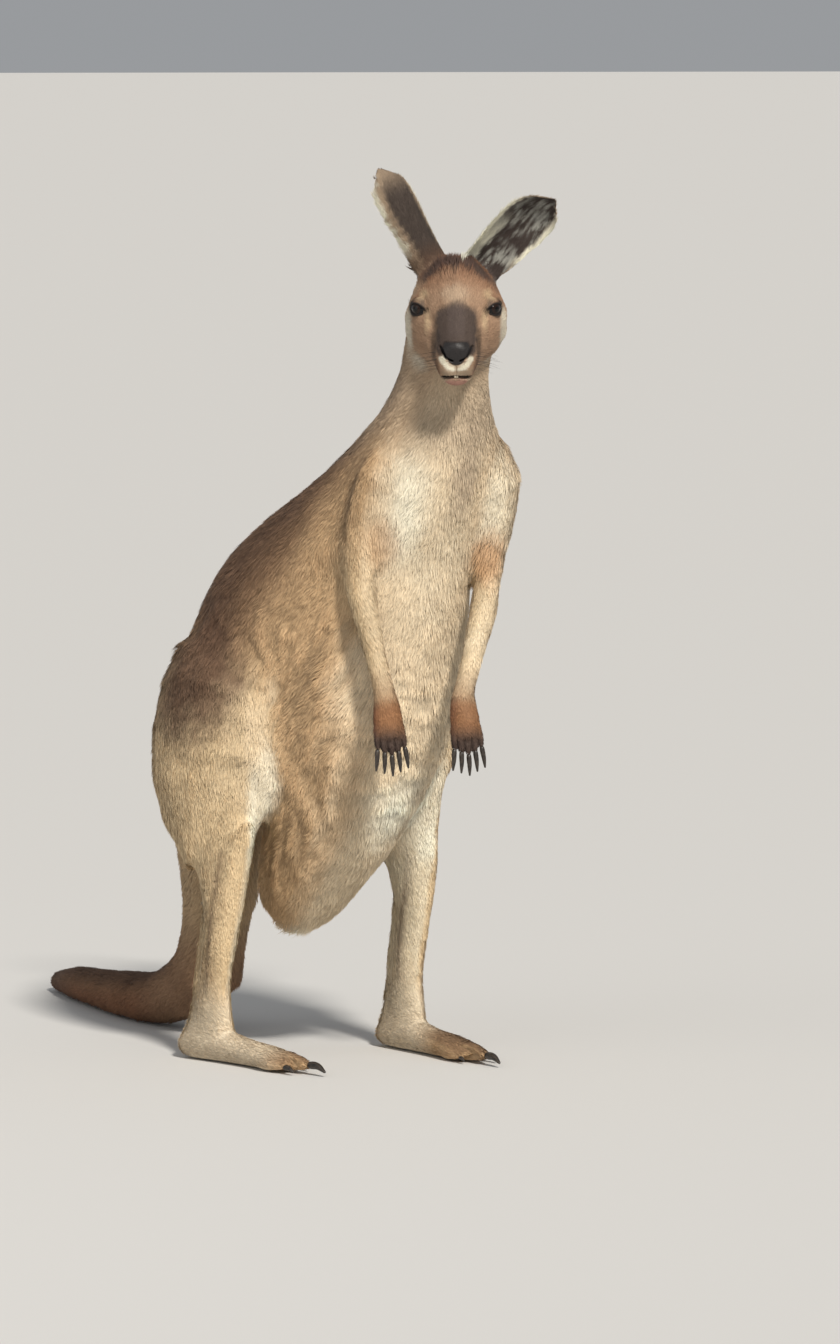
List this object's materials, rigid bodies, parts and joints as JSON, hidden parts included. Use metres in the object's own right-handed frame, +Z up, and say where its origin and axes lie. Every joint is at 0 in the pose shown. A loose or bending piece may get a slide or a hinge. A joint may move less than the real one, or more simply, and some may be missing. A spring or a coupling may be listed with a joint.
{
  "type": "kangaroo, life-size still model",
  "caption": "Western grey kangaroo standing semi-upright on its hind feet, arms hanging, head turned to face the viewer, tail laid along the ground behind.",
  "frame": {"origin": "middle of the footprint of the whole animal, on the floor", "axes": "+Z up; the hips and feet face -Y, so +X is the animal's left and +Y runs back along the tail; the chest and head turn about 38 degrees towards -X"},
  "size_m": [0.3382, 1.1536, 1.1168],
  "materials": {
    "coat_body": "short soft grey-brown fur, cream on the chest and belly",
    "coat_pale": "short flat pale buff fur",
    "coat_tail": "short dark brown fur",
    "coat_dark": "short blackish brown fur",
    "coat_hand": "short red-brown fur",
    "claw": "dark horn, slightly glossy",
    "eye": "wet dark brown"
  },
  "bodies": {
    "root": {"trunk": "coat_body", "neck": "coat_body", "head": "coat_body", "lower_jaw": "coat_dark", "left_thigh": "coat_body", "left_shank": "coat_pale", "left_foot": "coat_pale", "left_fourth_toe_claw": "claw", "left_fifth_toe_claw": "claw", "left_second_toe_claw": "claw", "right_thigh": "coat_body", "right_shank": "coat_pale", "right_foot": "coat_pale", "right_fourth_toe_claw": "claw", "right_fifth_toe_claw": "claw", "right_second_toe_claw": "claw", "tail_base": "coat_tail", "tail_middle": "coat_tail", "tail_tip": "coat_dark", "left_upper_arm": "coat_body", "left_forearm": "coat_body", "left_hand": "coat_hand", "left_finger_claw_1": "claw", "left_finger_claw_2": "claw", "left_finger_claw_3": "claw", "left_finger_claw_4": "claw", "left_finger_claw_5": "claw", "left_ear": "coat_tail", "left_eye": "eye", "right_upper_arm": "coat_body", "right_forearm": "coat_body", "right_hand": "coat_hand", "right_finger_claw_1": "claw", "right_finger_claw_2": "claw", "right_finger_claw_3": "claw", "right_finger_claw_4": "claw", "right_finger_claw_5": "claw", "right_ear": "coat_tail", "right_eye": "eye"}
  },
  "joints": []
}
